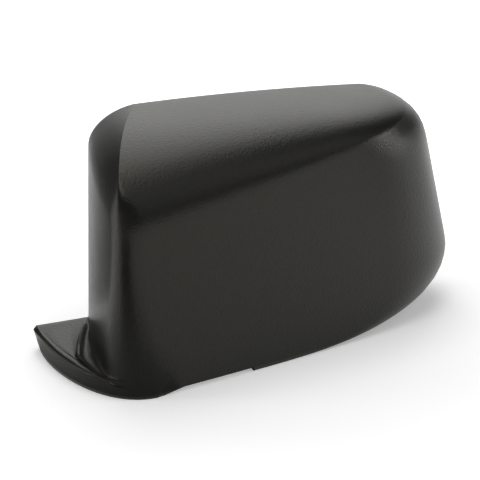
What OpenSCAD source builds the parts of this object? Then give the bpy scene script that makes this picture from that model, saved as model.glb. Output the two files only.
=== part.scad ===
// Wing mirror cover: one black grained moulding, standing on its pivot foot and its bottom wall.
// X runs along the cover, the convex face looks to -Y, the open rim is at the back, Z is up.

/* [Shell] */
// Height of the top of the shell above the floor
top_height = 148; // [142:1:154]
// Distance from the rim plane to the front of the face at the foot end
shell_depth = 102; // [96:1:108]
// Distance from the end wall above the foot to the far end of the shell
shell_length = 257; // [249:1:265]
// Wall thickness of the moulding
wall = 2.4; // [2:0.1:3]
// How far the face falls back toward the rim per millimetre of length
face_slope = 0.14; // [0.11:0.01:0.17]
// Bow of the face in plan, per square millimetre of length
face_bow = 0.0002; // [0:0.0001:0.0004]
// Drop from the top to the shoulder line at the foot end
shoulder_drop = 52; // [46:1:56]
// Rise of the shoulder line per millimetre of length
shoulder_rise = 0.18; // [0.14:0.01:0.2]
// Fullness of the curve from the shoulder to the rim, 2 is an ellipse
top_fullness = 2.4; // [2.1:0.1:2.6]
// Sag of the top rim at each end, per square millimetre of length
top_sag = 0.00026; // [0.0001:0.00002:0.0003]

/* [End wall above the foot] */
// Radius of the corner between the end wall and the face
corner_radius = 12; // [10:1:16]
// Drop from the top to where the end wall starts to round over
end_round_drop = 17; // [14:1:24]
// Width of that rounding along the shell
end_round_width = 33; // [28:1:38]
// Bow of the end wall in plan, per square millimetre of depth
end_bow = 0.0024; // [0.0018:0.0002:0.003]
// Drop from the top to where the corner radius has shrunk to the sharp crease
crease_drop = 16; // [12:1:20]

/* [Far end] */
// Plan length of the rounded far end
far_round = 70; // [64:1:76]
// Height of the widest point of the far end
far_widest_height = 40; // [35:1:45]
// Lean of the far end above its widest point
far_lean = 0.26; // [0.22:0.01:0.3]
// Width of the lower far corner seen from the front
far_low_width = 88; // [82:1:94]
// Width of the upper far corner seen from the front
far_top_width = 56; // [50:1:62]
// Drop from the top to where the upper far corner starts
far_top_drop = 35; // [29:1:41]

/* [Pivot foot] */
// Height of the shelf at the rim
foot_height = 16.5; // [14:0.5:19]
// Height of the shelf where it dies into the front corner
foot_front_height = 9.5; // [8:0.5:11]
// Reach of the shelf beyond the end wall at the rim
foot_reach = 35.8; // [32:0.2:39]
// Width of the raised lip along the shelf edge, at the rim
lip_width = 2; // [1.6:0.1:2.6]
// Width of the lip where it meets the bead
lip_front_width = 5.2; // [4:0.2:6]
// Height of the raised lip above the shelf
lip_height = 0.9; // [0.6:0.1:1.2]
// Depth of the groove between the lip and the shelf
groove_depth = 0.5; // [0.3:0.1:0.7]
// Height of the bead around the wall above the shelf
bead_height = 1.8; // [1.2:0.1:2.2]

/* [Bottom edge] */
// Place of the step in the bottom edge, from the end wall
step_place = 82; // [78:1:88]
// Height of the step
step_height = 2.1; // [1.6:0.1:2.6]
// Distance that the lower edge beyond the step turns in
edge_turn = 2.4; // [1.8:0.2:3]

/* [Fixing details inside] */
// Number of ribs on the inside of the face
rib_count = 5; // [3:1:6]
// Height of the ribs above the inner skin
rib_height = 4; // [3:0.5:6]
// Thickness of ribs, gussets and hooks
rib_thick = 1.8; // [1.4:0.1:2.2]
// Diameter of the two locating pegs
peg_diameter = 7; // [6:0.5:8]
// Free length of the locating pegs
peg_length = 22; // [18:1:26]
// Number of snap hooks under the top rim
hook_count = 4; // [3:1:5]
// Width of a snap hook
hook_width = 12; // [10:1:14]

/* [Hidden] */

plastic = [0.17, 0.17, 0.165];

// Frame: the rim is the plane y = 0 and the end wall stands near x = 0.
face_front = -shell_depth;
rim_over = 5;
top_mid = 82;
shoulder_height = top_height - shoulder_drop;
end_round_height = top_height - end_round_drop;
crease_height = top_height - crease_drop;
far_top_height = top_height - far_top_drop;
round_over = 1;
tuck_height = 36;
tuck_depth = 1.8;
crease_radius = 0.6;
crease_blend = 26;
end_wall_lean = 0.03;
lean_height = 32.5;
bow_mid = -65;
corner_weight = 0.85;
corner_limit = 0.8;
end_fullness = 1.6;
low_fullness = 2.5;
far_fullness = 2.5;
far_limit = 0.9;
plan_fullness = 2.3;
base_rise = 5.5;
base_spread = 1.4;
fan_low = 0.42;
fan_high = 0.86;
fan_run = 30;

// Numbers of facets in each direction.
end_cols = 10;
corner_cols = 10;
face_cols = 10;
far_cols = 14;
base_rows = 11;
wall_rows = 11;
top_rows = 13;
corner_end = end_cols + corner_cols;
cols = corner_end + face_cols + far_cols;
rows = base_rows + wall_rows + top_rows;

// Plan line of the face, and its slight turn under near the floor.
function face_plan(x) = face_front + face_slope * x + face_bow * x * x;
function tuck(z) = tuck_depth * pow(max(0, 1 - z / tuck_height), 2);

// Shoulder line and crown of the top.
function shoulder(x) = shoulder_height + shoulder_rise * x;
function crown(x, in) = top_height - in - top_sag * pow(x - top_mid, 2);

// Angle on the top curve at which the surface reaches the rim plane.
function rim_angle(x, in) =
    acos(pow(rim_over / (rim_over - face_plan(x) - in), top_fullness / 2));
function top_share(r) = (r - base_rows - wall_rows) / top_rows;

// Spread of the base rows over the height: a fan beside the foot, finer near the floor further on.
function fan(r) =
    r == 0 ? 0 : r == base_rows ? 1 : fan_low + (fan_high - fan_low) * (r - 1) / (base_rows - 2);
function base_share(x, r) =
    let (u = min(1, max(0, (x - corner_radius) / fan_run)))
    (1 - u) * fan(r) + u * pow(r / base_rows, base_spread);

// Height and depth of the face at place x on row r; zb is the top of the base rows.
function row_z(x, r, zb, in) =
    r <= base_rows ? zb * base_share(x, r) :
    r <= base_rows + wall_rows ? zb + (shoulder(x) - zb) * (r - base_rows) / wall_rows :
    shoulder(x) + (crown(x, in) - shoulder(x))
        * pow(sin(top_share(r) * rim_angle(x, in)), 2 / top_fullness);
function row_y(x, z, r, in) =
    r <= base_rows + wall_rows ? face_plan(x) + in + tuck(z) :
    rim_over - (rim_over - face_plan(x) - in)
        * pow(max(0, cos(top_share(r) * rim_angle(x, in))), 2 / top_fullness);

// End wall: bowed in plan, nearly upright, rounded over to the top.
function end_share(z, in) =
    min(1, max(0, (z + in - end_round_height) / (crown(corner_radius, 0) + round_over - end_round_height)));
function end_x(y, z, in) =
    in + end_wall_lean * (z - lean_height) + end_bow * pow(y - bow_mid, 2)
    + end_round_width * (1 - pow(1 - pow(end_share(z, in), end_fullness), 1 / end_fullness));
function end_point(y, r, zb, in, x = 5, n = 5) =
    let (z = row_z(x, r, zb, in))
    n == 0 ? [x, y, z] : end_point(y, r, zb, in, end_x(y, z, in), n - 1);

// Meeting point of the end wall and the face, found by stepping closer.
function meet(r, zb, in, x = 5, n = 9) =
    let (z = row_z(x, r, zb, in), y = row_y(x, z, r, in))
    n == 0 ? [x, y, z] : meet(r, zb, in, end_x(y, z, in), n - 1);

// Set-back of the corner blend: full below, hardly any along the crease.
function ease(k) = k * k * (3 - 2 * k);
function setback(c) =
    let (k = ease(min(1, max(0, (crease_height - c[2]) / crease_blend))))
    min(crease_radius + (corner_radius - crease_radius) * k, -corner_limit * c[1]);

far_mid = shell_length - far_round;

// Far end: outline seen from the front, then a rounded plan.
function far_x(z, in) =
    shell_length - in - far_lean * max(0, z - far_widest_height)
    - far_low_width * (1 - pow(1 - pow(low_share(z, in), low_fullness), 1 / low_fullness))
    - far_top_width * (1 - pow(1 - pow(high_share(z, in), far_fullness), 1 / far_fullness));
function low_share(z, in) =
    min(1, max(0, (far_widest_height - z + in) / far_widest_height));
function high_share(z, in) =
    min(1, max(0, (z + in - far_top_height) / (crown(far_mid, 0) + round_over - far_top_height)));
function far_point(r, zb, in, x, n = 6) =
    let (z = row_z(x, r, zb, in))
    n == 0 ? [x, 0, z] : far_point(r, zb, in, far_x(z, in), n - 1);
function far_turn(x, x0, x1) =
    x <= x0 ? 1 : pow(max(0, 1 - pow((x - x0) / (x1 - x0), plan_fullness)), 1 / plan_fullness);

// Lower edge beyond the step, turned in below the height of the step.
function edge_in(x, z) =
    edge_turn * max(0, 1 - z / step_height) * min(1, max(0, (x - corner_radius) / corner_radius));

// One point of the skin at row r and column j, without the foot.
function skin(r, j, zb, in) =
    let (c = meet(r, zb, in), s = setback(c))
    j < end_cols ? end_point((c[1] + s) * j / end_cols, r, zb, in) :
    j <= corner_end ? corner_point(r, zb, in, c, s, (j - end_cols) / corner_cols) :
    let (
        xa = c[0] + s,
        x1 = far_point(r, zb, in, far_mid)[0],
        x0 = x1 - min(far_round, far_limit * (x1 - xa))
    )
    j <= corner_end + face_cols ?
        face_point(r, zb, in, xa + (x0 - xa) * (j - corner_end) / face_cols, x0, x1) :
    let (t = 90 * (j - corner_end - face_cols) / far_cols)
    face_point(r, zb, in, x0 + (x1 - x0) * pow(sin(t), 2 / plan_fullness), x0, x1);
function face_point(r, zb, in, x, x0, x1) =
    let (z = row_z(x, r, zb, in))
    [x, (row_y(x, z, r, in) + edge_in(x, z)) * far_turn(x, x0, x1), z];
function corner_point(r, zb, in, c, s, k) =
    let (
        a = end_point(c[1] + s, r, zb, in),
        b = face_point(r, zb, in, c[0] + s, far_mid, shell_length),
        u = (1 - k) * (1 - k),
        v = 2 * corner_weight * k * (1 - k),
        w = k * k
    )
    (u * a + v * c + w * b) / (u + v + w);

// Pivot foot: plan line of its skirt from the rim to the front corner.
foot_rear_pull = 68;
foot_front_pull = 27;
foot_bulge = 2.3;
plain_base = foot_front_height + base_rise;
foot_wall_x = end_x(0, foot_height, 0);
function bezier(a, b, c, d, t) =
    pow(1 - t, 3) * a + 3 * t * pow(1 - t, 2) * b + 3 * t * t * (1 - t) * c + pow(t, 3) * d;
function foot_line(t, in) =
    let (
        e = skin(base_rows, corner_end, plain_base, in),
        start = [foot_wall_x - foot_reach + in, 0],
        end = [e[0], e[1]]
    )
    bezier(start, start - [foot_bulge, foot_rear_pull], end - foot_front_pull * [1, face_slope], end, t);
probe = 0.001;
function foot_inward(t, in) =
    let (along = foot_line(t + probe, in) - foot_line(t - probe, in))
    [-along[1], along[0]] / norm(along);
function foot_share(j) =
    j < end_cols ? j / end_cols / 2 : 1 / 2 + (j - end_cols) / corner_cols / 2;
function shelf(j) = foot_height + (foot_front_height - foot_height) * foot_share(j);
function base_top(j) = j < corner_end ? shelf(j) + base_rise : plain_base;

// Lip, groove and bead: each changes along the foot until the bead meets the lip.
lip_round = 1;
lip_over = 0.6;
skirt_draft = 1.4;
skirt_tuck = 2.8;
tuck_power = 8;
bead_spread = 14;
bead_run = 0.42;
bead_start = 0.12;
bead_fade = 0.2;
bead_foot = 2.2;
bead_back = 4.5;
bead_gap = 0.3;
bead_inside = 0.7;
dip_height = 0.35;
dip_least = 0.6;
bead_least = 1;
full_width = 20;
fade_width = 7;
function skirt_in(t) = lip_over + skirt_draft * 4 * t * (1 - t) + skirt_tuck * pow(1 - t, tuck_power);
function lip_at(t) = lip_width + (lip_front_width - lip_width) * min(1, t / bead_run);
function spread_at(t) = bead_least + (bead_spread - bead_least) * min(1, t / bead_run);
function bead_at(t, in) =
    bead_height * (in > 0 ? bead_inside : 1)
    * ease(min(1, t / bead_start)) * ease(min(1, max(0, 1 - (t - bead_run) / bead_fade)));
function dip_at(t) = max(dip_least, spread_at(t) - bead_back);

// Profile of the foot, row by row: distance from the skirt line or from the wall, and height
// above the lip's foot. The first rows are the lip and its groove, the last ones the bead.
function lip_profile(t, in) = [
    [lip_over, -2 * lip_round],
    [in > 0 ? lip_over : 0, -lip_round],
    [lip_round, in > 0 ? -lip_round / 2 : lip_height],
    [lip_at(t), in > 0 ? -groove_depth : lip_height],
    [lip_at(t) + lip_height, -groove_depth],
    [lip_at(t) + 2 * lip_height, 0]
];
function bead_profile(t, in) = [
    [spread_at(t) + bead_foot, 0],
    [spread_at(t), bead_at(t, in)],
    [dip_at(t), dip_height * bead_at(t, in)],
    [dip_height * dip_at(t), base_rise * dip_height]
];
lip_rows = 6;
function foot_place(r, t, d, k, in) =
    r <= lip_rows ? lip_profile(t, in)[r - 1] * k :
    let (
        p = bead_profile(t, in)[r - lip_rows - 1] * k,
        lip_end = k * (lip_at(t) + 2 * lip_height + bead_gap * (r - lip_rows))
    )
    [max(lip_end, d - p[0]), p[1]];
function foot_point(r, j, in) =
    let (
        t = foot_share(j),
        w = skin(base_rows, j, base_top(j), in),
        f = foot_line(t, in),
        across = [w[0], w[1]] - f,
        d = max(0.01, norm(across)),
        place = foot_place(max(1, r), t, d, min(1, d / full_width), in),
        p = r == 0 ? f + foot_inward(t, in) * skirt_in(t) : f + across * place[0] / d,
        h = ease(min(1, d / fade_width)),
        z = (1 - h) * plain_base * fan(r) + h * (shelf(j) - lip_height - in + place[1])
    )
    [p[0], p[1], r == 0 ? 0 : z];

// All points of one skin, row by row.
function grid(in) = [
    for (r = [0:rows], j = [0:cols])
        let (p = r < base_rows && j < corner_end ? foot_point(r, j, in) : skin(r, j, base_top(j), in))
        [p[0], r == rows || j == 0 || j == cols ? 0 : min(0, p[1]), p[2]]
];

// On the last row the end wall and its corner have run out to one point.
function at(r, j) = r * (cols + 1) + (r == rows ? max(j, corner_end) : j);
count = (rows + 1) * (cols + 1);
function triangles(quad) = [[quad[0], quad[1], quad[2]], [quad[0], quad[2], quad[3]]];
function sound(list) = [for (t = list) if (t[0] != t[1] && t[1] != t[2] && t[2] != t[0]) t];
outer_faces = [
    for (r = [0:rows - 1], j = [0:cols - 1])
        for (t = triangles([at(r, j), at(r + 1, j), at(r + 1, j + 1), at(r, j + 1)])) t
];
inner_faces = [for (t = outer_faces) [t[2] + count, t[1] + count, t[0] + count]];
loop = concat(
    [for (j = [0:cols - 1]) at(0, j)],
    [for (r = [0:rows - 1]) at(r, cols)],
    [for (j = [0:cols - corner_end - 1]) at(rows, cols - j)],
    [for (r = [0:rows - 1]) at(rows - r, 0)]
);
edge_faces = [
    for (i = [0:len(loop) - 1])
        let (a = loop[i], b = loop[(i + 1) % len(loop)])
        for (t = triangles([a, b, b + count, a + count])) t
];

outer_skin = grid(0);
inner_skin = grid(wall);
module shell() {
    polyhedron(
        points = concat(outer_skin, inner_skin),
        faces = sound(concat(outer_faces, inner_faces, edge_faces))
    );
}

// Bottom wall beyond the step, let into the shell wall.
floor_in = wall / 2;
floor_curve = [
    for (j = [corner_end:cols])
        let (p = skin(0, j, plain_base, floor_in))
        if (p[0] > step_place + wall) [p[0], min(0, p[1])]
];
floor_front = face_plan(step_place) + edge_turn + floor_in;
module bottom_wall() {
    linear_extrude(wall)
        polygon(concat([[step_place, 0], [step_place, floor_front]], floor_curve));
}

// Part of the front edge before the step is cut back by the height of the step.
notch_start = 20;
notch_run = 14;
cut_over = 1;
module edge_cut() {
    translate([0, -shell_depth / 2, 0])
        rotate([90, 0, 0])
            linear_extrude(shell_depth)
                polygon([
                    [notch_start, -cut_over], [notch_start, 0], [notch_start + notch_run, step_height],
                    [step_place, step_height], [step_place, -cut_over]
                ]);
}

// Stiffening ribs stand on the inner skin of the face, across the length of the cover.
function far_at(r, in) = far_point(r, plain_base, in, far_mid);
function skin_at(x, r, in) =
    let (z = row_z(x, r, plain_base, in), x1 = far_x(z, in))
    [row_y(x, z, r, in) * far_turn(x, x1 - far_round, x1), z];
rib_first = 46;
rib_last = 166;
rib_low_row = base_rows;
rib_high_row = base_rows + wall_rows + 1;
module face_rib(x) {
    last = rib_low_row + rib_high_row;
    outer = [for (r = [rib_low_row:rib_high_row]) skin_at(x, r, wall / 2)];
    inner = [for (r = [rib_low_row:rib_high_row]) skin_at(x, last - r, wall + rib_height)];
    translate([x - rib_thick / 2, 0, 0])
        rotate([90, 0, 90])
            linear_extrude(rib_thick)
                polygon(concat(outer, inner));
}
module face_ribs() {
    for (i = [0:rib_count - 1]) face_rib(rib_first + (rib_last - rib_first) * i / (rib_count - 1));
}

// Locating pegs for the mirror housing, each on a stepped boss.
peg_height = 62;
peg_places = [61, 151];
peg_chamfer = 1.2;
boss_over = 4;
boss_length = 9;
peg_facets = 32;
module peg(x) {
    boss_end = wall / 2 + boss_length;
    peg_end = boss_end + peg_length;
    peg_tip = peg_diameter - 2 * peg_chamfer;
    translate([x, face_plan(x) + wall / 2, peg_height])
        rotate([-90, 0, 0]) {
            cylinder(h = boss_end, d = peg_diameter + boss_over, $fn = peg_facets);
            cylinder(h = peg_end, d = peg_diameter, $fn = peg_facets);
            translate([0, 0, peg_end])
                cylinder(h = peg_chamfer, d1 = peg_diameter, d2 = peg_tip, $fn = peg_facets);
        }
}

// Snap hooks hang under the top rim and stand on the bottom wall.
hook_reach = 11;
hook_barb = 2;
hook_back = 1;
hook_foot = 15;
hook_first = 58;
hook_last = 168;
floor_hooks = [104, 136];
module hook(x, level, side) {
    stem = -hook_back - hook_barb;
    root = level + side * wall / 2;
    tip = level - side * hook_reach;
    translate([x - hook_width / 2, 0, 0])
        rotate([90, 0, 90])
            linear_extrude(hook_width)
                polygon([
                    [-hook_foot, root],
                    [-hook_foot, level],
                    [stem - rib_thick, tip],
                    [stem, tip],
                    [-hook_back, tip + side * hook_barb],
                    [-hook_back, tip + 2 * side * hook_barb],
                    [stem, tip + 2 * side * hook_barb],
                    [stem, root]
                ]);
}
module hooks() {
    for (i = [0:hook_count - 1])
        let (x = hook_first + (hook_last - hook_first) * i / (hook_count - 1))
        hook(x, crown(x, wall), 1);
    for (x = floor_hooks) hook(x, wall, -1);
}

// The cover is set with the middle of its bounding box over the origin.
middle_x = (min([for (p = outer_skin) p[0]]) + max([for (p = outer_skin) p[0]])) / 2;
middle_y = min([for (p = outer_skin) p[1]]) / 2;
module mirror_cover() {
    color(plastic)
        translate([-middle_x, -middle_y, 0])
            difference() {
                union() {
                    shell();
                    bottom_wall();
                    face_ribs();
                    for (x = peg_places) peg(x);
                    hooks();
                }
                edge_cut();
            }
}

mirror_cover();
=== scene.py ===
import math

import bpy
import numpy as np
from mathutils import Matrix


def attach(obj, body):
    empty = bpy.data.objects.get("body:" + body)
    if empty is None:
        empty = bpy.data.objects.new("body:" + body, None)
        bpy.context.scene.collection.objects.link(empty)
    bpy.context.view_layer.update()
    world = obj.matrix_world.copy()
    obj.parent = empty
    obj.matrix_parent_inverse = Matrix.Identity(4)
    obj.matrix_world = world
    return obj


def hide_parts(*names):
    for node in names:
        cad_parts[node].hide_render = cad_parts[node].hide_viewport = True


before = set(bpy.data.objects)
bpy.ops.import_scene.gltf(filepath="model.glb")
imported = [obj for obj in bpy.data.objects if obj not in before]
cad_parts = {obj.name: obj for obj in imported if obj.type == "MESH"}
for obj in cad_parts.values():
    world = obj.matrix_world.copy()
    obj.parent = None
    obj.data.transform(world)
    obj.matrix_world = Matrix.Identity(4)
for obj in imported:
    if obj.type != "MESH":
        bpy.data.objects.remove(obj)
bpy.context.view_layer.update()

# The photographer's camera: a long lens from the left front, looking a little down.
AIM = (-0.0363, -0.0236, 0.0786)
AZIMUTH = math.radians(-25)
ELEVATION = math.radians(19)
DISTANCE = 0.9358
camera_data = bpy.data.cameras.new("photo_camera")
camera_data.lens = 120
camera_data.sensor_width = 36
camera_data.clip_start = 0.05
camera = bpy.data.objects.new("photo_camera", camera_data)
bpy.context.collection.objects.link(camera)
camera.location = (
    AIM[0] + DISTANCE * math.sin(AZIMUTH) * math.cos(ELEVATION),
    AIM[1] - DISTANCE * math.cos(AZIMUTH) * math.cos(ELEVATION),
    AIM[2] + DISTANCE * math.sin(ELEVATION),
)
camera.rotation_euler = (math.pi / 2 - ELEVATION, 0, AZIMUTH)
bpy.context.scene.camera = camera

# Moulded shell: the whole cover is one injection moulding in black plastic, 2.4 mm thick.
# Its convex face runs back to the far end, its top is crowned and meets the end wall in a
# crease, and a pivot foot with a raised lip and a stepped bead stands out at the base.
MM = 0.001
WALL = 2.4
SHELL_LENGTH = 257
SHELL_DEPTH = 102
TOP_HEIGHT = 148

# Sizes are in millimetres. The far end is at x = SHELL_LENGTH, the rim at y = 0 and the floor
# at z = 0. MIDDLE is where the frame has its origin: the middle of the solid's box.
MIDDLE = np.array([115.31754, -49.98456, 0])

# The skin is a grid. Its rows go up the base, the wall and the top, and its columns go along
# the end wall, round the front corner, along the face and round the far end.
BASE_ROWS = 11
WALL_ROWS = 22
TOP_ROWS = 34
ROWS = BASE_ROWS + WALL_ROWS + TOP_ROWS
END_COLS = 20
CORNER_COLS = 20
FACE_COLS = 26
FAR_COLS = 30
CORNER_END = END_COLS + CORNER_COLS
COLS = CORNER_END + FACE_COLS + FAR_COLS

# The face, the shoulder line that rises along it, and the crowned top over to the rim.
FACE_SLOPE = 0.14
FACE_BOW = 0.0002
TUCK_HEIGHT = 36
TUCK_DEPTH = 1.8
SHOULDER_HEIGHT = 96
SHOULDER_RISE = 0.18
TOP_FULLNESS = 2.4
TOP_SAG = 0.00026
TOP_MID = 82
RIM_OVER = 5


def face_plan(x):
    return -SHELL_DEPTH + FACE_SLOPE * x + FACE_BOW * x * x


def tuck(z):
    return TUCK_DEPTH * np.maximum(0, 1 - z / TUCK_HEIGHT) ** 2


def shoulder(x):
    return SHOULDER_HEIGHT + SHOULDER_RISE * x


def crown(x, inset):
    return TOP_HEIGHT - inset - TOP_SAG * (x - TOP_MID) ** 2


def rim_angle(x, inset):
    return np.arccos((RIM_OVER / (RIM_OVER - face_plan(x) - inset)) ** (TOP_FULLNESS / 2))


def top_share(row):
    return np.clip((row - BASE_ROWS - WALL_ROWS) / TOP_ROWS, 0, 1)


# Heights of the rows: the base fans out at the foot and evens out past the corner.
CORNER_RADIUS = 16
FAN_LOW = 0.42
FAN_HIGH = 0.86
FAN_RUN = 30
BASE_CROWDING = 1.4


def fan(row):
    spread = FAN_LOW + (FAN_HIGH - FAN_LOW) * (row - 1) / (BASE_ROWS - 2)
    return np.where(row <= 0, 0, np.where(row >= BASE_ROWS, 1, spread))


def row_height(x, row, base, inset):
    even = np.clip((x - CORNER_RADIUS) / FAN_RUN, 0, 1)
    crowded = (np.minimum(row, BASE_ROWS) / BASE_ROWS) ** BASE_CROWDING
    low = base * ((1 - even) * fan(row) + even * crowded)
    middle = base + (shoulder(x) - base) * (row - BASE_ROWS) / WALL_ROWS
    turn = np.sin(top_share(row) * rim_angle(x, inset)) ** (2 / TOP_FULLNESS)
    high = shoulder(x) + (crown(x, inset) - shoulder(x)) * turn
    return np.where(row <= BASE_ROWS, low, np.where(row <= BASE_ROWS + WALL_ROWS, middle, high))


def row_depth(x, z, row, inset):
    flat = face_plan(x) + inset + tuck(z)
    turn = np.maximum(0, np.cos(top_share(row) * rim_angle(x, inset))) ** (2 / TOP_FULLNESS)
    high = RIM_OVER - (RIM_OVER - face_plan(x) - inset) * turn
    return np.where(row <= BASE_ROWS + WALL_ROWS, flat, high)


# The end wall leans and bows a little and rounds over into the top. Its points and its corner
# with the face are found by trying again from a first guess.
END_SHIFT = -9.22
END_LEAN = 0.03
LEAN_HEIGHT = 32.5
END_BOW = 0.0016
BOW_MID = -110
END_ROUND_HEIGHT = 126
END_ROUND_FALL = 0.22
END_ROUND_WIDTH = 34
END_FULLNESS = 1.9
END_GUESS = 5.0
END_TRIES = 6
CORNER_TRIES = 12


def end_wall(y, z, inset):
    start = END_ROUND_HEIGHT + END_ROUND_FALL * y
    share = np.clip((z + inset - start) / (crown(CORNER_RADIUS, 0) + 1 - start), 0, 1)
    over = END_ROUND_WIDTH * (1 - (1 - share**END_FULLNESS) ** (1 / END_FULLNESS))
    lean = END_LEAN * (z - LEAN_HEIGHT)
    return END_SHIFT + inset + lean + END_BOW * (y - BOW_MID) ** 2 + over


def end_point(y, row, base, inset):
    x = np.full(row.shape, END_GUESS)
    for step in range(END_TRIES):
        x = end_wall(y, row_height(x, row, base, inset), inset)
    return np.stack([x, y + 0 * x, row_height(x, row, base, inset)], -1)


def corner_line(row, base, inset):
    x = np.full(row.shape, END_GUESS)
    for step in range(CORNER_TRIES):
        z = row_height(x, row, base, inset)
        y = row_depth(x, z, row, inset)
        x = end_wall(y, z, inset)
    return np.stack([x, y, z], -1)


# The far end is widest low down, rounds in below and above that, and is rounded in plan.
FAR_ROUND = 70
FAR_MID = SHELL_LENGTH - FAR_ROUND
FAR_WIDEST_HEIGHT = 40
FAR_LEAN = 0.26
FAR_LOW_WIDTH = 88
FAR_TOP_WIDTH = 56
FAR_TOP_HEIGHT = 113
LOW_FULLNESS = 2.5
FAR_FULLNESS = 2.5
PLAN_FULLNESS = 2.3
FAR_TRIES = 8
FAR_ROUND_MOST = 0.9


def far_outline(z, inset):
    low = np.clip((FAR_WIDEST_HEIGHT - z + inset) / FAR_WIDEST_HEIGHT, 0, 1)
    rounded = crown(FAR_MID, 0) + 1 - FAR_TOP_HEIGHT
    high = np.clip((z + inset - FAR_TOP_HEIGHT) / rounded, 0, 1)
    return (
        SHELL_LENGTH - inset - FAR_LEAN * np.maximum(0, z - FAR_WIDEST_HEIGHT)
        - FAR_LOW_WIDTH * (1 - (1 - low**LOW_FULLNESS) ** (1 / LOW_FULLNESS))
        - FAR_TOP_WIDTH * (1 - (1 - high**FAR_FULLNESS) ** (1 / FAR_FULLNESS))
    )


def far_end(row, base, inset):
    x = np.full(row.shape, float(FAR_MID))
    for step in range(FAR_TRIES):
        x = far_outline(row_height(x, row, base, inset), inset)
    return x


def far_turn(x, start, end):
    share = np.clip((x - start) / (end - start), 0, 1)
    return np.maximum(0, 1 - share**PLAN_FULLNESS) ** (1 / PLAN_FULLNESS)


# The lower edge is raised from the foot to a step. Past the step it turns in a little.
STEP_PLACE = 82
STEP_HEIGHT = 2.6
EDGE_TURN = 0.7


def face_point(row, base, inset, x, start, end):
    z = row_height(x, row, base, inset)
    turned = EDGE_TURN * np.maximum(0, 1 - z / STEP_HEIGHT)
    turned = turned * np.clip((x - CORNER_RADIUS) / CORNER_RADIUS, 0, 1)
    y = (row_depth(x, z, row, inset) + turned) * far_turn(x, start, end)
    return np.stack([x, y, z], -1)


# The front corner is a crease at the top. Below that it is a round that grows to the base.
CREASE_HEIGHT = 132
CREASE_BLEND = 26
CREASE_RADIUS = 0.35
LOW_CORNER_MORE = 12
LOW_CORNER_HEIGHT = 90
CORNER_MOST = 0.8
CORNER_WEIGHT = 0.85


def ease(k):
    return k * k * (3 - 2 * k)


def shell_column(row, column, base, inset):
    corner = corner_line(row, base, inset)
    blend = ease(np.clip((CREASE_HEIGHT - corner[:, 2]) / CREASE_BLEND, 0, 1))
    low = ease(np.clip(1 - corner[:, 2] / LOW_CORNER_HEIGHT, 0, 1))
    full = CORNER_RADIUS + LOW_CORNER_MORE * low
    radius = CREASE_RADIUS + (full - CREASE_RADIUS) * blend
    set_back = np.minimum(radius, -CORNER_MOST * corner[:, 1])
    if column < END_COLS:
        return end_point((corner[:, 1] + set_back) * column / END_COLS, row, base, inset)
    if column <= CORNER_END:
        k = (column - END_COLS) / CORNER_COLS
        a = end_point(corner[:, 1] + set_back, row, base, inset)
        b = face_point(row, base, inset, corner[:, 0] + set_back, FAR_MID, SHELL_LENGTH)
        u, v, w = (1 - k) ** 2, 2 * CORNER_WEIGHT * k * (1 - k), k * k
        return (u * a + v * corner + w * b) / (u + v + w)
    near = corner[:, 0] + set_back
    end = far_end(row, base, inset)
    start = end - np.minimum(FAR_ROUND, FAR_ROUND_MOST * (end - near))
    if column <= CORNER_END + FACE_COLS:
        x = near + (start - near) * (column - CORNER_END) / FACE_COLS
    else:
        turn = math.pi / 2 * (column - CORNER_END - FACE_COLS) / FAR_COLS
        x = start + (end - start) * math.sin(turn) ** (2 / PLAN_FULLNESS)
    return face_point(row, base, inset, x, start, end)


# The pivot foot: a shelf that falls to the front, with a skirt along a curve in plan.
FOOT_END = CORNER_END
FOOT_HEIGHT = 16.5
FOOT_FRONT_HEIGHT = 9.5
FOOT_REACH = 35.8
FOOT_REAR_PULL = 50
FOOT_FRONT_PULL = 34
FOOT_BULGE = 6
END_SHARE = 0.6
BASE_RISE = 5.5
PLAIN_BASE = FOOT_FRONT_HEIGHT + BASE_RISE


def foot_share(column):
    if column < END_COLS:
        return column / END_COLS * END_SHARE
    return END_SHARE + (1 - END_SHARE) * (column - END_COLS) / (FOOT_END - END_COLS)


def shelf_height(column):
    return FOOT_HEIGHT + (FOOT_FRONT_HEIGHT - FOOT_HEIGHT) * foot_share(column)


def skirt_line(t, inset):
    base = np.array([BASE_ROWS])
    end = shell_column(base, FOOT_END, PLAIN_BASE, inset)[0][:2]
    along = np.array([1, FACE_SLOPE])
    rear = np.array([end_wall(0, FOOT_HEIGHT, 0) - FOOT_REACH + inset, 0])
    rear_pull = rear - [FOOT_BULGE, FOOT_REAR_PULL]
    front_pull = end - FOOT_FRONT_PULL * along
    a, b, c, d = (1 - t) ** 3, 3 * t * (1 - t) ** 2, 3 * t * t * (1 - t), t**3
    return a * rear + b * rear_pull + c * front_pull + d * end


# The profile across the foot: the drafted skirt, the raised lip with its groove, the shelf, and
# the bead and the dip at the base of the wall. Each point is a distance inwards and a rise.
SKIRT_DRAFT = 1.4
SKIRT_TUCK = 2.8
SKIRT_TUCK_POWER = 8
LIP_WIDTH = 2
LIP_FRONT_WIDTH = 5.2
LIP_HEIGHT = 0.9
LIP_ROUND = 1.0
LIP_END_ROUND = 2.2
LIP_START = 0.15
LIP_OVER = 0.6
GROOVE_DEPTH = 0.5
BEAD_HEIGHT = 1.8
BEAD_INSIDE = 0.7
BEAD_LEAST = 1
BEAD_SPREAD = 14
BEAD_RUN = 0.42
BEAD_START = 0.12
BEAD_FADE = 0.2
BEAD_FOOT = 2.2
BEAD_BACK = 4.5
DIP_HEIGHT = 0.35
DIP_LEAST = 0.6


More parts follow.
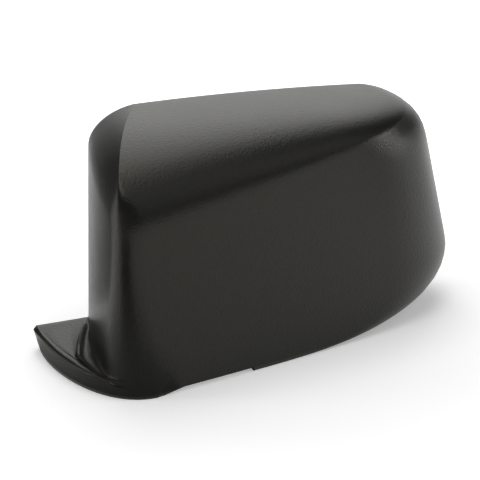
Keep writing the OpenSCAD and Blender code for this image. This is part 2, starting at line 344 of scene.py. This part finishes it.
def foot_profile(inset, t):
    outside = inset == 0
    run = min(1, t / BEAD_RUN)
    spread = BEAD_LEAST + (BEAD_SPREAD - BEAD_LEAST) * run
    faded = ease(min(1, max(0, 1 - (t - BEAD_RUN) / BEAD_FADE)))
    bead = BEAD_HEIGHT * (1 if outside else BEAD_INSIDE) * ease(min(1, t / BEAD_START)) * faded
    dip = max(DIP_LEAST, spread - BEAD_BACK)
    lip = LIP_WIDTH + (LIP_FRONT_WIDTH - LIP_WIDTH) * run
    start = ease(min(1, t / LIP_START))
    raised, groove = LIP_HEIGHT * start, GROOVE_DEPTH * start
    turn = LIP_ROUND + (LIP_END_ROUND - LIP_ROUND) * (1 - start)
    skirt = SKIRT_DRAFT * 4 * t * (1 - t) + SKIRT_TUCK * (1 - t) ** SKIRT_TUCK_POWER
    return [
        (LIP_OVER + skirt, 0),
        (LIP_OVER, -2 * turn),
        (0 if outside else LIP_OVER, -turn),
        (turn, raised if outside else -turn / 2),
        (lip, raised if outside else -groove),
        (lip + LIP_HEIGHT, -groove),
        (lip + 2 * LIP_HEIGHT, 0),
        (spread + BEAD_FOOT, 0),
        (spread, bead),
        (dip, DIP_HEIGHT * bead),
        (DIP_HEIGHT * dip, DIP_HEIGHT * BASE_RISE),
    ]


# Each column of the foot lays the profile between the skirt's line and the wall. The last rows
# of the profile are measured back from the wall, and all of it shrinks where the foot is narrow.
LIP_ROWS = 6
BEAD_GAP = 0.3
FULL_WIDTH = 20
FADE_WIDTH = 7
LEAST_REACH = 0.01
NUDGE = 0.001


def foot_points(column, inset, wall_point):
    t = foot_share(column)
    edge = skirt_line(t, inset)
    along = skirt_line(t + NUDGE, inset) - skirt_line(t - NUDGE, inset)
    inward = np.array([-along[1], along[0]]) / np.hypot(*along)
    across = wall_point[:2] - edge
    reach = max(float(np.hypot(*across)), LEAST_REACH)
    k = min(1, reach / FULL_WIDTH)
    full = ease(min(1, reach / FADE_WIDTH))
    profile = foot_profile(inset, t)
    points = [(*(edge + inward * profile[0][0]), 0)]
    for row in range(1, BASE_ROWS):
        away, rise = profile[row]
        place = away * k
        if row > LIP_ROWS:
            least = k * (profile[LIP_ROWS][0] + BEAD_GAP * (row - LIP_ROWS))
            place = max(least, reach - away * k)
        z = shelf_height(column) - LIP_HEIGHT - inset + rise * k
        x, y = edge + across * place / reach
        points.append((x, y, (1 - full) * PLAIN_BASE * float(fan(row)) + full * z))
    return points


def skin(inset):
    row = np.arange(ROWS + 1)
    points = np.zeros((ROWS + 1, COLS + 1, 3))
    for column in range(COLS + 1):
        foot = column < FOOT_END
        base = shelf_height(column) + BASE_RISE if foot else PLAIN_BASE
        points[:, column] = shell_column(row, column, base, inset)
        if foot:
            points[:BASE_ROWS, column] = foot_points(column, inset, points[BASE_ROWS, column])
    points[:, 0, 1] = points[:, -1, 1] = points[-1, :, 1] = 0
    points[..., 1] = np.minimum(0, points[..., 1])
    return points


# The rows of the base get rows between them on a smooth curve.
BASE_PARTS = 3


def smoothed_base(points):
    rows = []
    for r in range(BASE_ROWS):
        before, a, b, after = (points[max(0, r - 1)], points[r], points[r + 1], points[r + 2])
        for step in range(BASE_PARTS):
            t = step / BASE_PARTS
            rows.append(0.5 * (
                2 * a + (b - before) * t + (2 * before - 5 * a + 4 * b - after) * t**2
                + (3 * a - before - 3 * b + after) * t**3
            ))
    return np.concatenate([np.array(rows), points[BASE_ROWS:]])


outer = smoothed_base(skin(0))
inner = smoothed_base(skin(WALL))
last = len(outer) - 1
count = outer.shape[0] * outer.shape[1]


def index(r, c):
    return r * (COLS + 1) + (max(c, CORNER_END) if r == last else c)


# The open edge runs along the bottom, up the far end, back along the rim and down the end wall.
# A band with rounded sides joins the two skins there.
EDGE_ROUND = 0.4
LEDGE_MOST = 0.4
LEAST_WIDTH = 0.001
edge_loop = [index(0, c) for c in range(COLS)]
edge_loop += [index(r, COLS) for r in range(last)]
edge_loop += [index(last, c) for c in range(COLS, CORNER_END, -1)]
edge_loop += [index(r, 0) for r in range(last, 0, -1)]
edge_loop_in = [i + count for i in edge_loop]
ring = len(edge_loop)
vertices = np.concatenate([outer.reshape(-1, 3), inner.reshape(-1, 3)])
edge_out, edge_in = vertices[edge_loop], vertices[edge_loop_in]
lift = np.zeros((ring, 3))
lift[:, 1] = -EDGE_ROUND
lift[1:COLS] = (0, 0, EDGE_ROUND)
lift[0] = lift[COLS] = (0, -EDGE_ROUND, EDGE_ROUND)
width = np.maximum(np.linalg.norm(edge_in - edge_out, axis=1, keepdims=True), LEAST_WIDTH)
ledge = np.minimum(EDGE_ROUND / width, LEDGE_MOST)
crest_out = edge_out + (edge_in - edge_out) * ledge
crest_in = edge_in + (edge_out - edge_in) * ledge
vertices[edge_loop] = edge_out + lift
vertices[edge_loop_in] = edge_in + lift
first = len(vertices)
vertices = np.concatenate([vertices, crest_out, crest_in])
faces = []
for r in range(last):
    for c in range(COLS):
        quad = [index(r, c), index(r, c + 1), index(r + 1, c + 1), index(r + 1, c)]
        quad = [v for k, v in enumerate(quad) if v != quad[k - 1]]
        if len(quad) > 2:
            faces.append(quad)
            faces.append([v + count for v in reversed(quad)])
for k in range(ring):
    n = (k + 1) % ring
    rails = [
        (edge_loop[k], edge_loop[n]), (first + k, first + n),
        (first + ring + k, first + ring + n), (edge_loop_in[k], edge_loop_in[n]),
    ]
    for (a, b), (d, e) in zip(rails, rails[1:]):
        faces.append([a, d, e, b])


def plastic_piece(name, points, polygons):
    mesh = bpy.data.meshes.new(name)
    mesh.from_pydata([tuple(p) for p in (np.array(points) - MIDDLE) * MM], [], polygons)
    mesh.validate()
    mesh.polygons.foreach_set("use_smooth", [True] * len(mesh.polygons))
    piece = bpy.data.objects.new(name, mesh)
    bpy.context.collection.objects.link(piece)
    return piece


def node(tree, kind, sockets=None, **settings):
    made = tree.nodes.new(kind)
    for name, value in settings.items():
        setattr(made, name, value)
    for socket, source in (sockets or {}).items():
        if isinstance(source, bpy.types.NodeSocket):
            tree.links.new(source, made.inputs[socket])
        else:
            made.inputs[socket].default_value = source
    return made


def math_of(tree, operation, *terms):
    return node(tree, "ShaderNodeMath", dict(enumerate(terms)), operation=operation).outputs[0]


# The moulded grain: small cells and a speckle for the bump, wide clouds for the roughness,
# and the speckle again for the shade.
SPECKLE_SCALE = 0.45
CLOUD_SCALE = 22
CLOUD_ROUGHNESS = 0.06
grain = bpy.data.node_groups.new("moulded_grain", "ShaderNodeTree")
for side, names in (
    ("INPUT", ("Grain Scale", "Roughness")), ("OUTPUT", ("Height", "Roughness", "Shade")),
):
    for name in names:
        grain.interface.new_socket(name, in_out=side, socket_type="NodeSocketFloat")
given = node(grain, "NodeGroupInput")
place = node(grain, "ShaderNodeTexCoord").outputs["Object"]
cells = node(grain, "ShaderNodeTexVoronoi", {
    "Vector": place, "Scale": given.outputs["Grain Scale"], "Randomness": 1,
}, feature="F1")
speckle = node(grain, "ShaderNodeTexNoise", {
    "Vector": place, "Scale": math_of(grain, "MULTIPLY", given.outputs["Grain Scale"], SPECKLE_SCALE),
    "Detail": 3, "Roughness": 0.6,
})
clouds = node(grain, "ShaderNodeTexNoise", {"Vector": place, "Scale": CLOUD_SCALE, "Detail": 2})
shade = node(grain, "ShaderNodeMapRange", {
    "Value": speckle.outputs["Fac"], "From Min": 0.3, "From Max": 0.7,
})
node(grain, "NodeGroupOutput", {
    "Height": math_of(grain, "ADD", cells.outputs["Distance"], speckle.outputs["Fac"]),
    "Roughness": math_of(
        grain, "MULTIPLY_ADD", clouds.outputs["Fac"], CLOUD_ROUGHNESS, given.outputs["Roughness"]
    ),
    "Shade": shade.outputs["Result"],
})

plastic = bpy.data.materials.new("black_grained_plastic")
plastic.use_nodes = True
surface = plastic.node_tree.nodes["Principled BSDF"]
surface.inputs["Specular IOR Level"].default_value = 0.31
surface.inputs["Specular Tint"].default_value = (1, 0.97, 0.86, 1)
texture = node(plastic.node_tree, "ShaderNodeGroup", node_tree=grain)
texture.inputs["Grain Scale"].default_value = 1000
texture.inputs["Roughness"].default_value = 0.3
colour = node(plastic.node_tree, "ShaderNodeValToRGB", {"Fac": texture.outputs["Shade"]})
colour.color_ramp.elements[0].color = (0.0065, 0.0065, 0.0058, 1)
colour.color_ramp.elements[1].color = (0.0095, 0.0095, 0.0085, 1)
bump = node(plastic.node_tree, "ShaderNodeBump", {
    "Height": texture.outputs["Height"], "Strength": 0.5, "Distance": 0.00022,
})
for source, socket in (
    (colour.outputs["Color"], "Base Color"), (texture.outputs["Roughness"], "Roughness"),
    (bump.outputs["Normal"], "Normal"),
):
    plastic.node_tree.links.new(source, surface.inputs[socket])

# The inner side of the same moulding is smoother, so it is a copy with a coarser, weaker grain.
inside_plastic = plastic.copy()
inside_plastic.name = "black_smooth_plastic"
inside_nodes = {made.type: made for made in inside_plastic.node_tree.nodes}
inside_nodes["GROUP"].inputs["Grain Scale"].default_value = 420
inside_nodes["GROUP"].inputs["Roughness"].default_value = 0.34
inside_nodes["BUMP"].inputs["Strength"].default_value = 0.1


def as_cover(piece):
    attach(piece, "root")
    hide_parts("mirror_cover")


def applied(piece, materials, sharp_over=40):
    graph = bpy.context.evaluated_depsgraph_get()
    mesh = bpy.data.meshes.new_from_object(piece.evaluated_get(graph))
    skins = np.zeros(len(mesh.polygons), dtype=np.int32)
    mesh.polygons.foreach_get("material_index", skins)
    mesh.materials.clear()
    for material in materials:
        mesh.materials.append(material)
    mesh.polygons.foreach_set("material_index", np.minimum(skins, len(materials) - 1))
    mesh.polygons.foreach_set("use_smooth", [True] * len(mesh.polygons))
    mesh.set_sharp_from_angle(angle=math.radians(sharp_over))
    piece.modifiers.clear()
    piece.data = mesh


def prism_faces(corners):
    sides = [[k, (k + 1) % corners, (k + 1) % corners + corners, k + corners] for k in range(corners)]
    return [list(range(corners))[::-1], list(range(corners, 2 * corners)), *sides]


# The two skins take one plastic each, and a cutter takes the raised stretch out of the edge.
shell = plastic_piece("moulded_shell", vertices, faces)
shell.data.materials.append(plastic)
shell.data.materials.append(inside_plastic)
inside = [int(min(face) >= count and max(face) < first) for face in faces]
shell.data.polygons.foreach_set("material_index", inside)
NOTCH_START = 20
NOTCH_RUN = 14
NOTCH_UNDER = -5
NOTCH_FRONT = -130
NOTCH_REAR = -SHELL_DEPTH / 2
notch = [
    (NOTCH_START, NOTCH_UNDER), (NOTCH_START, 0), (NOTCH_START + NOTCH_RUN, STEP_HEIGHT),
    (STEP_PLACE, STEP_HEIGHT), (STEP_PLACE, NOTCH_UNDER),
]
cutter = plastic_piece(
    "notch_cutter", [(x, y, z) for y in (NOTCH_FRONT, NOTCH_REAR) for x, z in notch],
    prism_faces(len(notch)),
)
cut = shell.modifiers.new("notch", "BOOLEAN")
cut.object = cutter
cut.operation = "DIFFERENCE"
cut.solver = "MANIFOLD"
applied(shell, [plastic, inside_plastic], sharp_over=50)
bpy.data.objects.remove(cutter)
as_cover(shell)

# Bottom wall: a flat floor of the moulding beyond the step, let into the shell's wall and
# level with its lower edge. Its straight inner end leaves the opening for the mirror's arm.
FLOOR_EDGE = 0.35
FLOOR_EDGE_ANGLE = 60
floor_front = face_plan(STEP_PLACE) + EDGE_TURN + WALL / 2
outline = [(STEP_PLACE, 0), (STEP_PLACE, floor_front)]
outline += [(x, min(0, y)) for x, y, z in skin(WALL / 2)[0, CORNER_END:] if x > STEP_PLACE + WALL]
bottom_wall = plastic_piece(
    "bottom_wall", [(x, y, z) for z in (0, WALL) for x, y in outline], prism_faces(len(outline))
)
softened = bottom_wall.modifiers.new("edge", "BEVEL")
softened.width = FLOOR_EDGE * MM
softened.segments = 2
softened.limit_method = "ANGLE"
softened.angle_limit = math.radians(FLOOR_EDGE_ANGLE)
applied(bottom_wall, [inside_plastic])
as_cover(bottom_wall)

# Stiffening ribs: upright blades of the same plastic, moulded on the inner skin of the face.
# Each follows the bow of the face and stands a few millimetres proud of the skin.
RIB_COUNT = 5
RIB_HEIGHT = 4
RIB_THICK = 1.8
RIB_FIRST = 46
RIB_LAST = 166
RIB_STEPS = 36
RIB_TOP_PART = 13
RIB_TOP = BASE_ROWS + WALL_ROWS + TOP_ROWS / RIB_TOP_PART
MERGE_DISTANCE = 0.00001


def new_tree(name, sizes):
    tree = bpy.data.node_groups.new(name, "GeometryNodeTree")
    tree.interface.new_socket("Geometry", in_out="INPUT", socket_type="NodeSocketGeometry")
    tree.interface.new_socket("Geometry", in_out="OUTPUT", socket_type="NodeSocketGeometry")
    for size, value in sizes.items():
        kind = "NodeSocketInt" if isinstance(value, int) else "NodeSocketFloat"
        tree.interface.new_socket(size, in_out="INPUT", socket_type=kind)
    return tree


def ended(tree, mesh, material):
    real = node(tree, "GeometryNodeRealizeInstances", {"Geometry": mesh})
    made = node(tree, "GeometryNodeSetMaterial", {
        "Geometry": real.outputs["Geometry"], "Material": material,
    })
    node(tree, "NodeGroupOutput", {"Geometry": made.outputs["Geometry"]})


def grown(piece, tree, sizes, material):
    maker = piece.modifiers.new("maker", "NODES")
    maker.node_group = tree
    for socket in tree.interface.items_tree:
        if socket.in_out == "INPUT" and socket.name in sizes:
            maker[socket.identifier] = sizes[socket.name]
    applied(piece, [material])


plate_tree = new_tree("moulded_plate", {"Thickness": 1.0})
given = node(plate_tree, "NodeGroupInput")
half_back = math_of(plate_tree, "MULTIPLY", given.outputs["Thickness"], -0.5)
back = node(plate_tree, "ShaderNodeCombineXYZ", {"X": half_back})
flat = node(plate_tree, "GeometryNodeSetPosition", {
    "Geometry": given.outputs["Geometry"], "Offset": back.outputs[0],
})
along = node(plate_tree, "ShaderNodeCombineXYZ", {"X": 1.0})
thick = node(plate_tree, "GeometryNodeExtrudeMesh", {
    "Mesh": flat.outputs["Geometry"], "Offset": along.outputs[0],
    "Offset Scale": given.outputs["Thickness"], "Individual": False,
})
lid = node(plate_tree, "GeometryNodeFlipFaces", {"Mesh": flat.outputs["Geometry"]})
both = node(plate_tree, "GeometryNodeJoinGeometry")
plate_tree.links.new(thick.outputs["Mesh"], both.inputs["Geometry"])
plate_tree.links.new(lid.outputs["Mesh"], both.inputs["Geometry"])
closed = node(plate_tree, "GeometryNodeMergeByDistance", {
    "Geometry": both.outputs["Geometry"], "Distance": MERGE_DISTANCE,
})
node(plate_tree, "NodeGroupOutput", {"Geometry": closed.outputs["Geometry"]})

rib_sizes = {"Thickness": RIB_THICK * MM}
rib_tree = new_tree("face_ribs", rib_sizes)
given = node(rib_tree, "NodeGroupInput")
blade = node(rib_tree, "GeometryNodeGroup", node_tree=plate_tree)
rib_tree.links.new(given.outputs["Geometry"], blade.inputs["Geometry"])
rib_tree.links.new(given.outputs["Thickness"], blade.inputs["Thickness"])
ended(rib_tree, blade.outputs["Geometry"], inside_plastic)


def rib_line(x, inset):
    row = np.linspace(BASE_ROWS, RIB_TOP, RIB_STEPS)
    at = np.full(row.shape, float(x))
    height = row_height(at, row, PLAIN_BASE, inset)
    end = far_outline(height, inset)
    depth = row_depth(at, height, row, inset) * far_turn(at, end - FAR_ROUND, end)
    return np.stack([at, depth, height], -1)


rib_points, rib_faces = [], []
for x in np.linspace(RIB_FIRST, RIB_LAST, RIB_COUNT):
    start = len(rib_points)
    rib_points += [*rib_line(x, WALL / 2), *rib_line(x, WALL + RIB_HEIGHT)]
    for low in range(start, start + RIB_STEPS - 1):
        rib_faces.append([low, low + RIB_STEPS, low + RIB_STEPS + 1, low + 1])
ribs = plastic_piece("face_ribs", rib_points, rib_faces)
grown(ribs, rib_tree, rib_sizes, inside_plastic)
as_cover(ribs)

# Locating pegs: two round pins with chamfered tips, each on a stepped boss, moulded on the
# inner skin; they find their holes in the mirror housing.
PEG_HEIGHT = 62
PEG_PLACES = (61, 151)
PEG_RADIUS = 3.5
PEG_REACH = 31
PEG_CHAMFER = 1.2
BOSS_RADIUS = 5.5
BOSS_REACH = 9
BOSS_CHAMFER = 0.3
peg_sizes = {
    "Facets": 64, "Peg Radius": PEG_RADIUS * MM, "Peg End": (WALL / 2 + PEG_REACH) * MM,
    "Boss Radius": BOSS_RADIUS * MM, "Boss End": (WALL / 2 + BOSS_REACH) * MM,
}
peg_tree = new_tree("locating_pegs", peg_sizes)
given = node(peg_tree, "NodeGroupInput")
pin = node(peg_tree, "GeometryNodeJoinGeometry")
for part, chamfer in (("Boss", BOSS_CHAMFER), ("Peg", PEG_CHAMFER)):
    radius, end = given.outputs[f"{part} Radius"], given.outputs[f"{part} End"]
    drum = node(peg_tree, "GeometryNodeMeshCylinder", {
        "Vertices": given.outputs["Facets"], "Radius": radius, "Depth": end,
    })
    middle = node(peg_tree, "ShaderNodeCombineXYZ", {"Z": math_of(peg_tree, "MULTIPLY", end, 0.5)})
    lifted = node(peg_tree, "GeometryNodeTransform", {
        "Geometry": drum.outputs["Mesh"], "Translation": middle.outputs[0],
    })
    tip = node(peg_tree, "GeometryNodeMeshCone", {
        "Vertices": given.outputs["Facets"], "Radius Bottom": radius,
        "Radius Top": math_of(peg_tree, "SUBTRACT", radius, chamfer * MM), "Depth": chamfer * MM,
    })
    top = node(peg_tree, "ShaderNodeCombineXYZ", {"Z": end})
    capped = node(peg_tree, "GeometryNodeTransform", {
        "Geometry": tip.outputs["Mesh"], "Translation": top.outputs[0],
    })
    peg_tree.links.new(lifted.outputs["Geometry"], pin.inputs["Geometry"])
    peg_tree.links.new(capped.outputs["Geometry"], pin.inputs["Geometry"])
laid = node(peg_tree, "GeometryNodeTransform", {
    "Geometry": pin.outputs["Geometry"], "Rotation": (-math.pi / 2, 0, 0),
})
set_out = node(peg_tree, "GeometryNodeInstanceOnPoints", {
    "Points": given.outputs["Geometry"], "Instance": laid.outputs["Geometry"],
})
ended(peg_tree, set_out.outputs["Instances"], inside_plastic)
peg_points = [(x, face_plan(x) + WALL / 2, PEG_HEIGHT) for x in PEG_PLACES]
pegs = plastic_piece("locating_pegs", peg_points, [])
grown(pegs, peg_tree, peg_sizes, inside_plastic)
as_cover(pegs)

# Snap hooks: short bent tongues with a barb, four under the top rim and two on the bottom
# wall. They are moulded with the cover and click over the edge of the mirror housing.
HOOK_WIDTH = 12
HOOK_REACH = 11
HOOK_THICK = 1.8
HOOK_BARB = 2
HOOK_BACK = 1
HOOK_FOOT = 15

# How many hooks stand in a row, and the places of the first and the last.
TOP_HOOKS = (4, 58, 168)
FLOOR_HOOKS = (2, 104, 136)
hook_sizes = {
    "Count": 4, "Width": HOOK_WIDTH * MM, "First": 0.0, "Last": 0.0, "Level": 0.0,
    "Sag": 0.0, "Sag Middle": 0.0,
}
hook_tree = new_tree("snap_hooks", hook_sizes)
given = node(hook_tree, "NodeGroupInput")
tongue = node(hook_tree, "GeometryNodeGroup", node_tree=plate_tree)
hook_tree.links.new(given.outputs["Geometry"], tongue.inputs["Geometry"])
hook_tree.links.new(given.outputs["Width"], tongue.inputs["Thickness"])
gaps = math_of(hook_tree, "SUBTRACT", given.outputs["Count"], 1)
span = math_of(hook_tree, "SUBTRACT", given.outputs["Last"], given.outputs["First"])
pitch = node(hook_tree, "ShaderNodeCombineXYZ", {"X": math_of(hook_tree, "DIVIDE", span, gaps)})
begin = node(hook_tree, "ShaderNodeCombineXYZ", {"X": given.outputs["First"]})
row_of = node(hook_tree, "GeometryNodeMeshLine", {
    "Count": given.outputs["Count"], "Start Location": begin.outputs[0], "Offset": pitch.outputs[0],
})
position = node(hook_tree, "GeometryNodeInputPosition")
here = node(hook_tree, "ShaderNodeSeparateXYZ", {0: position.outputs[0]})
off = math_of(hook_tree, "SUBTRACT", here.outputs["X"], given.outputs["Sag Middle"])
squared = math_of(hook_tree, "MULTIPLY", off, off)
drop = math_of(hook_tree, "MULTIPLY", squared, given.outputs["Sag"])
lift_by = node(hook_tree, "ShaderNodeCombineXYZ", {
    "Z": math_of(hook_tree, "SUBTRACT", given.outputs["Level"], drop),
})
placed = node(hook_tree, "GeometryNodeSetPosition", {
    "Geometry": row_of.outputs["Mesh"], "Offset": lift_by.outputs[0],
})
hung = node(hook_tree, "GeometryNodeInstanceOnPoints", {
    "Points": placed.outputs["Geometry"], "Instance": tongue.outputs["Geometry"],
})
ended(hook_tree, hung.outputs["Instances"], inside_plastic)


def snap_hooks(name, side, row_of_hooks, sizes):
    stem = -HOOK_BACK - HOOK_BARB
    under_barb = -side * (HOOK_REACH - 2 * HOOK_BARB)
    profile = [
        (-HOOK_FOOT, side * WALL / 2), (-HOOK_FOOT, 0), (stem - HOOK_THICK, -side * HOOK_REACH),
        (stem, -side * HOOK_REACH), (-HOOK_BACK, -side * (HOOK_REACH - HOOK_BARB)),
        (-HOOK_BACK, under_barb), (stem, under_barb), (stem, side * WALL / 2),
    ]
    points = [(MIDDLE[0], y, z) for y, z in profile[::side]]
    hooks = plastic_piece(name, points, [list(range(len(points)))])
    number, first_place, last_place = row_of_hooks
    places = {"First": (first_place - MIDDLE[0]) * MM, "Last": (last_place - MIDDLE[0]) * MM}
    grown(hooks, hook_tree, {**hook_sizes, "Count": number, **places, **sizes}, inside_plastic)
    as_cover(hooks)


snap_hooks("top_snap_hooks", 1, TOP_HOOKS, {
    "Level": crown(TOP_MID, WALL) * MM, "Sag": TOP_SAG / MM, "Sag Middle": (TOP_MID - MIDDLE[0]) * MM,
})
snap_hooks("floor_snap_hooks", -1, FLOOR_HOOKS, {"Level": WALL * MM})

# Studio, in metres: a white table that runs on far behind the cover, and a white backdrop. They
# glow to the camera and in reflections. The table glows less near the cover: a painted shade round
# it, which keeps its shadow.
TABLE_HALF = 8
BACKDROP_HALF = 3
BACKDROP_HEIGHT = 3
BACKDROP_PLACE = 2.2
GLOW_NEAR = 0.13
GLOW_FAR = 0.6


def stage_sheet(name, corners, material):
    mesh = bpy.data.meshes.new(name)
    mesh.from_pydata(corners, [], [list(range(len(corners)))])
    mesh.materials.append(material)
    sheet = bpy.data.objects.new(name, mesh)
    bpy.context.collection.objects.link(sheet)
    return sheet


def paper(name, colour, near_glow, far_glow):
    made = bpy.data.materials.new(name)
    made.use_nodes = True
    tree = made.node_tree
    surface = tree.nodes["Principled BSDF"]
    surface.inputs["Base Color"].default_value = (colour, colour, colour, 1)
    surface.inputs["Roughness"].default_value = 0.9
    surface.inputs["Specular IOR Level"].default_value = 0.0
    surface.inputs["Emission Color"].default_value = (1, 1, 1, 1)
    rays = node(tree, "ShaderNodeLightPath")
    seen = math_of(tree, "MAXIMUM", rays.outputs["Is Camera Ray"], rays.outputs["Is Glossy Ray"])
    seen = math_of(tree, "MAXIMUM", seen, rays.outputs["Is Transmission Ray"])
    here = node(tree, "ShaderNodeTexCoord")
    away = node(tree, "ShaderNodeVectorMath", {0: here.outputs["Object"]}, operation="LENGTH")
    # The glow runs from near_glow by the cover to far_glow away from it; a lower near_glow paints shade
    # round the cover.
    glow = node(tree, "ShaderNodeMapRange", {
        "Value": away.outputs["Value"], "From Min": GLOW_NEAR, "From Max": GLOW_FAR,
        "To Min": near_glow, "To Max": far_glow,
    })
    strength = math_of(tree, "MULTIPLY", seen, glow.outputs["Result"])
    tree.links.new(strength, surface.inputs["Emission Strength"])
    return made


table_corners = [
    (-TABLE_HALF, -TABLE_HALF), (TABLE_HALF, -TABLE_HALF),
    (TABLE_HALF, TABLE_HALF), (-TABLE_HALF, TABLE_HALF),
]
# Painted shade: the table glows at 0.32 by the cover and 0.86 far off, so it is darker round the cover.
table = paper("white_table", 0.9, near_glow=0.32, far_glow=0.86)
stage_sheet("studio_floor", [(x, y, 0) for x, y in table_corners], table)
backdrop_corners = [
    (-BACKDROP_HALF, 0), (BACKDROP_HALF, 0),
    (BACKDROP_HALF, BACKDROP_HEIGHT), (-BACKDROP_HALF, BACKDROP_HEIGHT),
]
backdrop = paper("white_backdrop", 0.8, near_glow=1, far_glow=1)
stage_sheet("studio_backdrop", [(x, BACKDROP_PLACE, z) for x, z in backdrop_corners], backdrop)

world = bpy.data.worlds.new("studio")
bpy.context.scene.world = world
world.use_nodes = True
world.node_tree.nodes["Background"].inputs["Color"].default_value = (1, 1, 1, 1)
world.node_tree.nodes["Background"].inputs["Strength"].default_value = 0.08


# Soft boxes: a key behind at the right, one overhead, one at the front right, a wide one above
# that fills, a small one at the far right and a narrow strip at the left.
def soft_box(name, place, aim, size, watts):
    data = bpy.data.lights.new(name, "AREA")
    data.shape = "RECTANGLE"
    data.size, data.size_y = size
    data.energy = watts
    lamp = bpy.data.objects.new(name, data)
    bpy.context.collection.objects.link(lamp)
    lamp.location = place
    lamp.visible_camera = False
    away = np.array(aim) - np.array(place)
    tilt = math.pi / 2 + math.atan2(away[2], math.hypot(away[0], away[1]))
    lamp.rotation_euler = (tilt, 0, math.atan2(away[1], away[0]) - math.pi / 2)


soft_box("key_box", (0.44, 0.86, 1.07), (0, 0, 0.05), (0.8, 0.95), 3.4)
soft_box("overhead_box", (0.15, 0.4, 1.35), (0, 0, 0), (0.8, 0.8), 3)
soft_box("front_box", (0.6, -0.72, 0.92), (0, 0, 0.05), (1.0, 1.0), 2)
soft_box("fill_box", (-0.35, -0.15, 1.5), (0, 0, 0), (1.2, 1.2), 10.5)
soft_box("right_box", (1.15, -0.3, 0.2), (0, 0, 0.1), (0.28, 0.2), 1.5)
soft_box("left_strip", (-0.75, 0.2, 0.2), (0, 0, 0.08), (0.12, 0.4), 0.7)

# Cards: dark, grey and pale card on the table round the cover, and a dark screen behind it at the
# left. Only reflections see them: they are painted reflections, the dark and light bands round the
# cover, and the grey and pale cards glow.
CARD_HEIGHT = 0.001
FOOT_CARD_HEIGHT = 0.002


def lying(corners, height=CARD_HEIGHT):
    return [(x, y, height) for x, y in corners]


def card(name, corners, material):
    sheet = stage_sheet(name, corners, material)
    # Seen only in reflections: a painted reflection that neither the camera nor the light meets.
    sheet.visible_camera = sheet.visible_shadow = sheet.visible_diffuse = False


# Painted reflections: the dark card paints dark bands, and the grey and pale cards glow to paint light
# ones, such as the highlight at the far right.
dark_card = paper("dark_card", 0.1, near_glow=0, far_glow=0)
grey_card = paper("grey_card", 0.5, near_glow=0.12, far_glow=0.12)
pale_card = paper("pale_card", 0.6, near_glow=0.4, far_glow=0.4)
card("back_left_card", lying([(-0.12, 0.12), (-0.15, 0.7), (-0.58, 0.6), (-0.17, 0.1)]), dark_card)
card("back_left_screen", [
    (-0.15, 0.7, 0), (-0.6, 0.6, 0), (-0.6, 0.6, 1.1),
    (0.17, 0.7, 1.1), (0.02, 0.7, 0.45), (-0.13, 0.7, 0.15),
], dark_card)
card("front_left_card", lying([(-0.11, -0.07), (-0.75, -0.07), (-0.42, -0.6), (-0.08, -0.09)]), dark_card)
card("foot_card", lying([
    (-0.13, 0.06), (-0.2, 0.05), (-0.2, -0.12), (-0.08, -0.15), (-0.07, -0.08),
], FOOT_CARD_HEIGHT), grey_card)
card("right_card", lying([(0.31, -0.18), (0.81, -0.6), (0.99, -0.25), (0.36, -0.085)]), grey_card)
card("far_right_card", lying([(0.36, -0.085), (0.99, -0.25), (1.1, 0.5), (0.38, 0.12)]), pale_card)

bpy.context.scene.view_settings.view_transform = "Standard"
